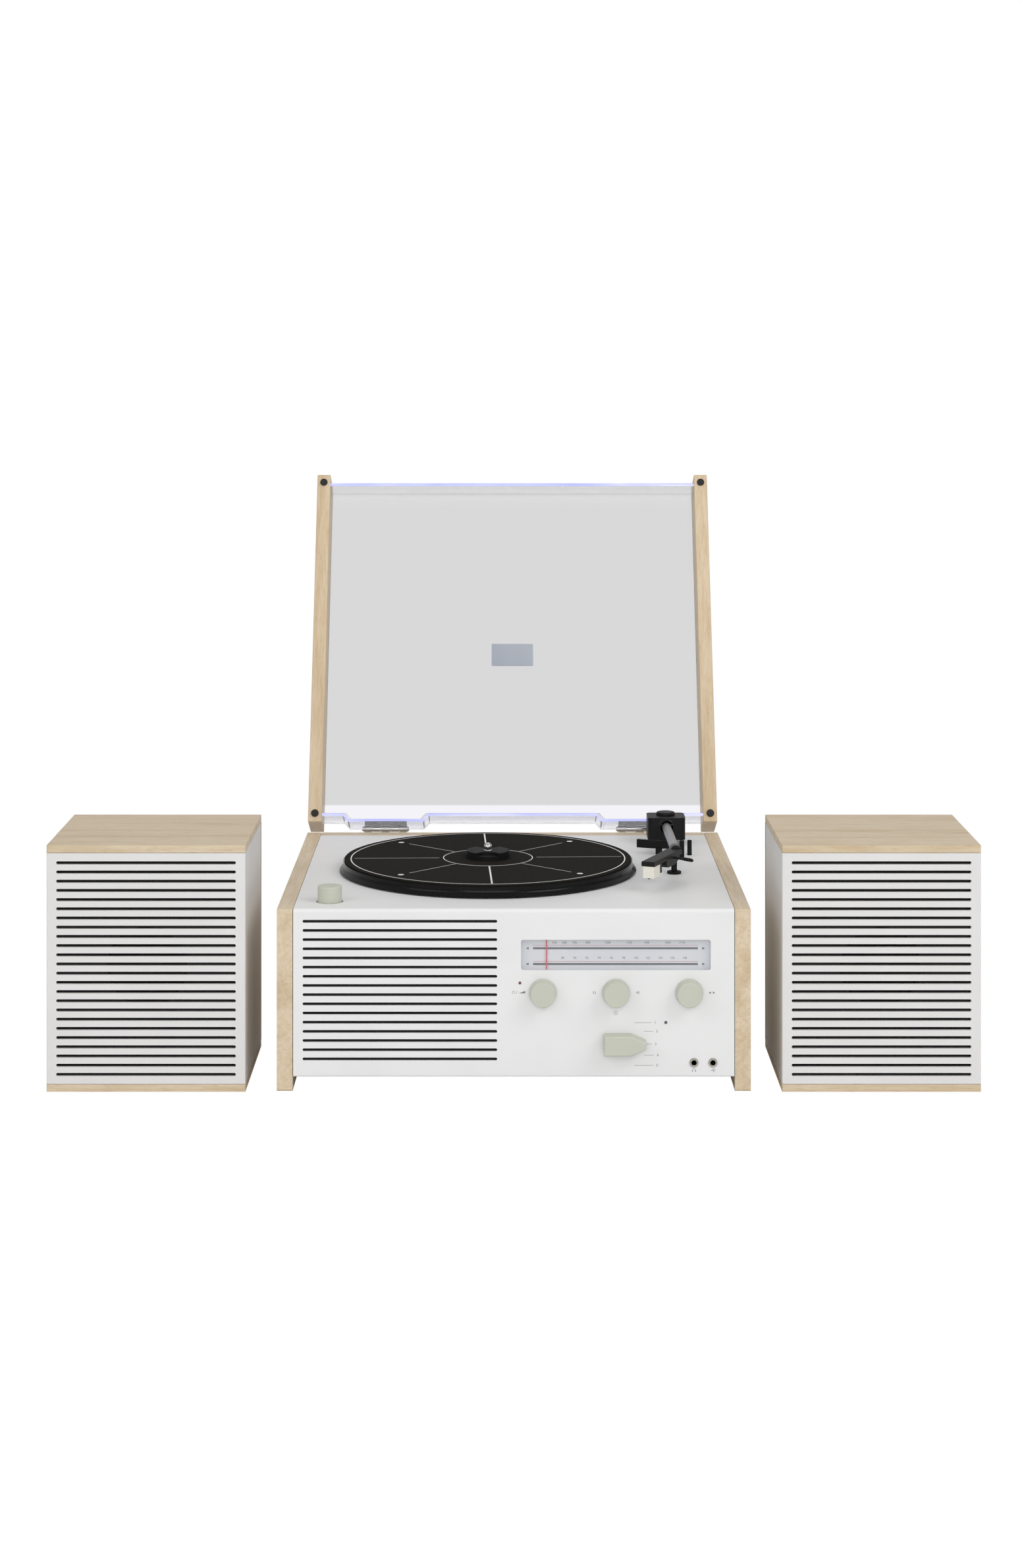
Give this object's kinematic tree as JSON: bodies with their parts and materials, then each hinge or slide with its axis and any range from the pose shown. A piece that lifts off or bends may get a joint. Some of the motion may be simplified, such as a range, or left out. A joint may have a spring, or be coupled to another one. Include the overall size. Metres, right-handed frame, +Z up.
{
  "type": "record player",
  "caption": "Wooden record player with a clear hinged lid, slotted front, radio dial and knobs, and a separate matching speaker on each side.",
  "frame": {"origin": "on the floor, at the middle of the whole set's box from above, with the lid open; the cabinet's centre plane is x = 0", "axes": "+X to the viewer's right along the front, +Y from the front to the back, +Z up"},
  "size_m": [0.7526, 0.5382, 0.4735],
  "materials": {
    "maple": "satin clear-coated light wood",
    "white_sheet": "satin white paint",
    "raw_board": "bare fibreboard",
    "feet_rubber": "matt",
    "black_board": "matt black paint",
    "clear_plastic": "clear, polished",
    "dial_white": "matt white",
    "red_plastic": "bright red",
    "sage_plastic": "fine matt, grey green",
    "control_metal": "dull zinc plate",
    "gloss_black": "polished black",
    "black_plastic": "matt black",
    "felt": "black felt with a printed pattern",
    "steel": "turned",
    "brass": "turned",
    "belt_rubber": "matt",
    "tube_metal": "satin anodised",
    "off_white": "moulded off-white",
    "frosted": "frosted pale",
    "chrome": "polished",
    "board_green": "solder resist",
    "nickel": "nickel plate",
    "white_board": "satin white paint on board"
  },
  "bodies": {
    "cabinet": {"left_side_panel": "maple", "right_side_panel": "maple", "top_shell": "white_sheet", "rear_board": "maple", "base_board": "raw_board", "cabinet_feet": "feet_rubber", "grille_backing": "black_board", "dial_window": "clear_plastic", "dial_plate": "dial_white", "rotary_controls": "control_metal", "tuning_capacitor": "control_metal", "power_light": "red_plastic", "mode_light": "gloss_black", "front_jacks": "black_plastic", "start_switch": "black_plastic", "bearing_well": "brass", "drive_belt": "belt_rubber", "motor": "control_metal", "tonearm_base": "black_plastic", "arm_rest": "black_plastic", "cabinet_leaves": "chrome", "hinge_pins": "chrome", "main_board": "board_green", "terminal_plate": "black_plastic", "rear_sockets": "nickel", "left_speaker_boards": "maple", "right_speaker_boards": "maple", "left_speaker_shell": "white_board", "right_speaker_shell": "white_board", "left_speaker_baffle": "black_board", "right_speaker_baffle": "black_board", "left_speaker_back": "raw_board", "right_speaker_back": "raw_board", "speaker_drivers": "black_plastic", "speaker_terminals": "black_plastic"},
    "lid": {"lid_panel": "clear_plastic", "left_lid_rail": "maple", "right_lid_rail": "maple", "lid_badge": "frosted", "lid_bumpers": "feet_rubber", "lid_leaves": "chrome"},
    "platter": {"platter": "gloss_black", "felt_mat": "felt", "spindle": "steel", "adapter_45": "black_plastic"},
    "pulley": {"motor_pulley": "brass"},
    "tonearm_carrier": {"tonearm_housing": "black_plastic"},
    "tonearm": {"tonearm_tube": "tube_metal", "headshell": "black_plastic", "finger_lift": "black_plastic", "cartridge": "off_white", "stylus": "black_plastic"},
    "cue_lever": {"cue_lever": "black_plastic"},
    "cue_platform": {"cue_platform": "black_plastic"},
    "volume_knob": {"volume_knob": "sage_plastic"},
    "speed_knob": {"speed_knob": "sage_plastic"},
    "tune_knob": {"tune_knob": "sage_plastic"},
    "pointer": {"tuning_pointer": "red_plastic"},
    "selector_knob": {"selector_knob": "sage_plastic"},
    "start_button": {"start_button": "sage_plastic"}
  },
  "joints": [
    {"name": "lid_hinge", "type": "hinge", "parent": "cabinet", "child": "lid", "pos_m": [0, 0.09402, 0.151], "axis": [1, 0, 0], "range_deg": [0, 113.2]},
    {"name": "platter_spin", "type": "hinge", "parent": "cabinet", "child": "platter", "pos_m": [-0.0218, -0.08948, 0.15], "axis": [0, 0, -1], "continuous": true},
    {"name": "pulley_spin", "type": "hinge", "parent": "cabinet", "child": "pulley", "pos_m": [0.02502, -0.02046, 0.15], "axis": [0, 0, -1], "continuous": true},
    {"name": "tonearm_swing", "type": "hinge", "parent": "cabinet", "child": "tonearm_carrier", "pos_m": [0.1393, 0.04352, 0.15], "axis": [0, 0, -1], "range_deg": [0, 31]},
    {"name": "tonearm_lift", "type": "hinge", "parent": "tonearm_carrier", "child": "tonearm", "pos_m": [0.1393, 0.04352, 0.1637], "axis": [-1, 0, 0], "range_deg": [0, 1.6]},
    {"name": "cue_lever_turn", "type": "hinge", "parent": "cabinet", "child": "cue_lever", "pos_m": [0.1569, -0.02048, 0.138], "axis": [-1, 0, 0], "range_deg": [0, 40.2]},
    {"name": "cue_platform_rise", "type": "slide", "parent": "cabinet", "child": "cue_platform", "axis": [0, 0, 1], "range_m": [0, 0.0037]},
    {"name": "volume_turn", "type": "hinge", "parent": "cabinet", "child": "volume_knob", "pos_m": [0.0233, -0.26148, 0.0809], "axis": [0, 1, 0], "range_deg": [0, 270]},
    {"name": "speed_turn", "type": "hinge", "parent": "cabinet", "child": "speed_knob", "pos_m": [0.0821, -0.26148, 0.0809], "axis": [0, 1, 0], "range_deg": [-40, 40]},
    {"name": "tune_turn", "type": "hinge", "parent": "cabinet", "child": "tune_knob", "pos_m": [0.1409, -0.26148, 0.0809], "axis": [0, 1, 0], "range_deg": [-59, 857]},
    {"name": "pointer_travel", "type": "slide", "parent": "cabinet", "child": "pointer", "axis": [1, 0, 0], "range_m": [-0.0082, 0.1196]},
    {"name": "selector_turn", "type": "hinge", "parent": "cabinet", "child": "selector_knob", "pos_m": [0.0821, -0.26148, 0.0405], "axis": [0, 1, 0], "range_deg": [-50, 50]},
    {"name": "button_press", "type": "slide", "parent": "cabinet", "child": "start_button", "axis": [0, 0, -1], "range_m": [0, 0.003], "stiffness_N_per_m": 400, "springref_m": -0.002}
  ],
  "couplings": [
    {"joint": "pulley_spin", "follows": "platter_spin", "ratio": 13.208},
    {"joint": "cue_lever_turn", "follows": "tonearm_lift", "ratio": 25},
    {"joint": "cue_platform_rise", "follows": "tonearm_lift", "m_per_rad": 0.12892},
    {"joint": "tune_turn", "follows": "pointer_travel", "rad_per_m": 125}
  ]
}
